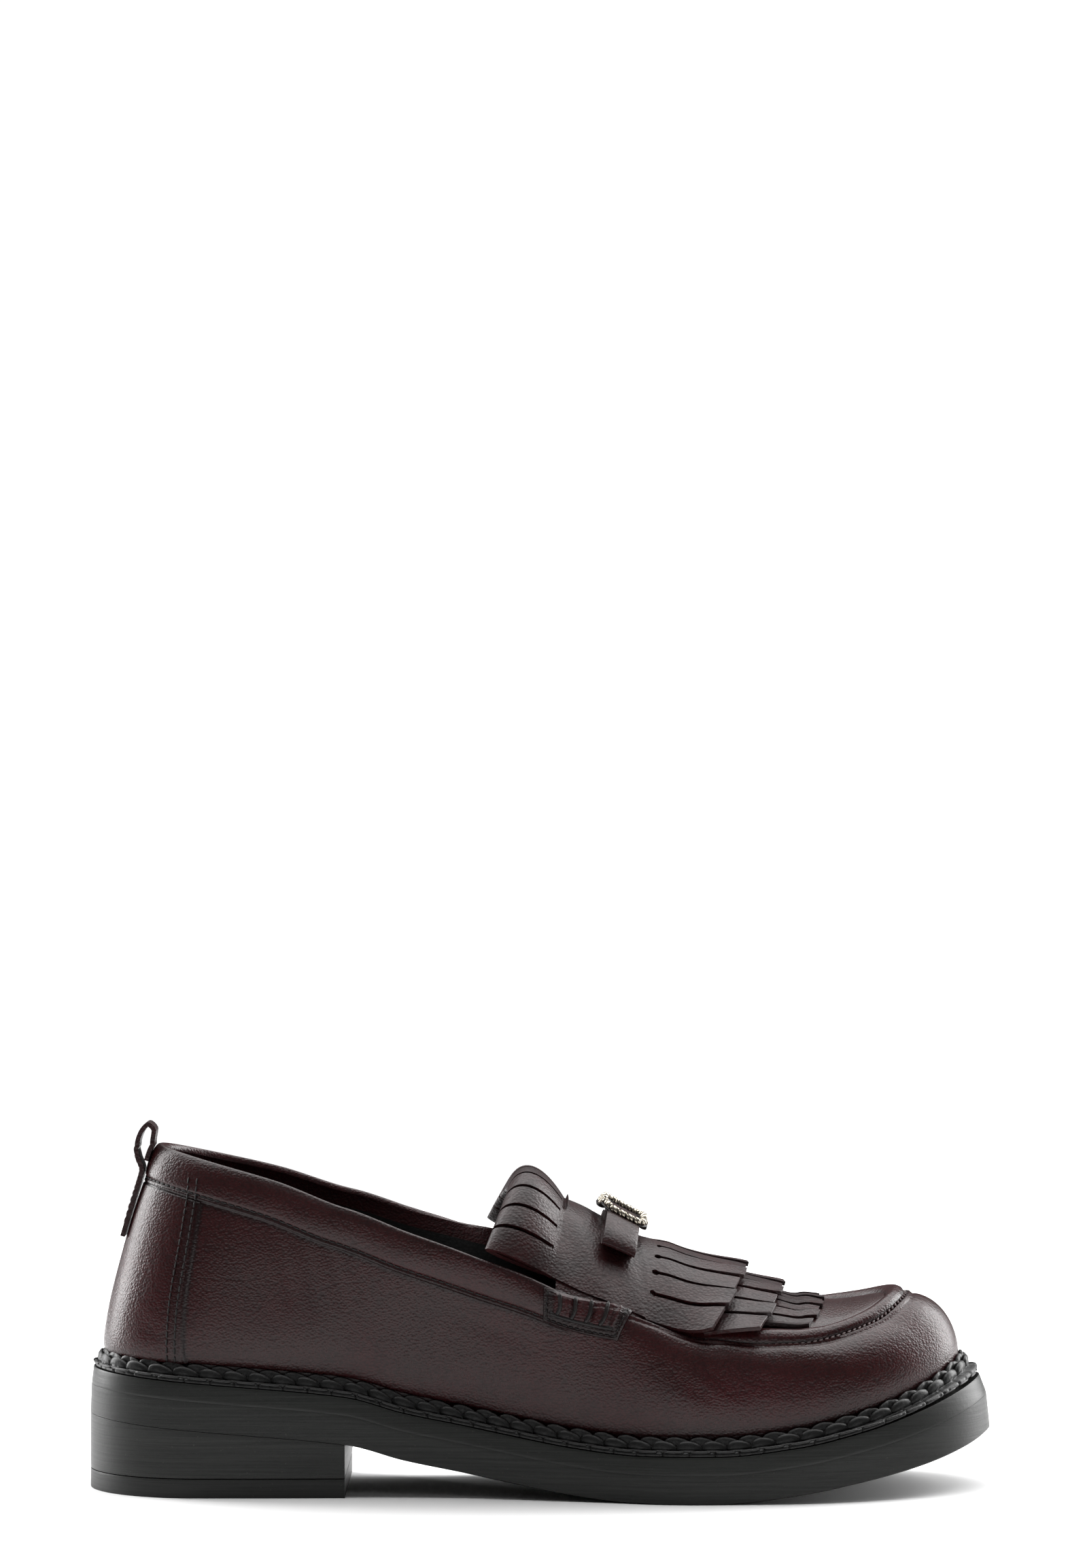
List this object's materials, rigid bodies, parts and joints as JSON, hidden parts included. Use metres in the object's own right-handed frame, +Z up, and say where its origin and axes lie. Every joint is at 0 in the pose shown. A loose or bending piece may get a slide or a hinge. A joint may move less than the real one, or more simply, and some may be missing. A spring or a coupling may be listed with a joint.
{
  "type": "kiltie loafer",
  "caption": "Right-foot slip-on shoe of burgundy leather: moc-toe apron, fringed tongue that curls back over the instep, strap with rope-rimmed ornament, bead welt and low stacked heel.",
  "frame": {"origin": "on the floor under the middle of the heel", "axes": "+X from the heel to the toe, -Y towards the outer (lateral) side of the foot, +Z up"},
  "size_m": [0.2839, 0.0985, 0.1145],
  "materials": {
    "upper_leather": "satin",
    "trim_leather": "satin",
    "welt_leather": "satin",
    "sole_leather": "satin",
    "heel_rubber": "matt",
    "lining": "matt",
    "silver": "antique silver"
  },
  "bodies": {
    "root": {"outsole": "sole_leather", "midsole": "sole_leather", "heel": "sole_leather", "heel_toppiece": "heel_rubber", "insole": "lining", "welt": "welt_leather", "upper": "upper_leather", "fringe_front": "trim_leather", "fringe_middle": "trim_leather", "kiltie": "trim_leather", "side_tab_lateral": "trim_leather", "side_tab_medial": "trim_leather", "bow": "trim_leather", "ornament": "silver", "pull_loop": "trim_leather"}
  },
  "joints": []
}
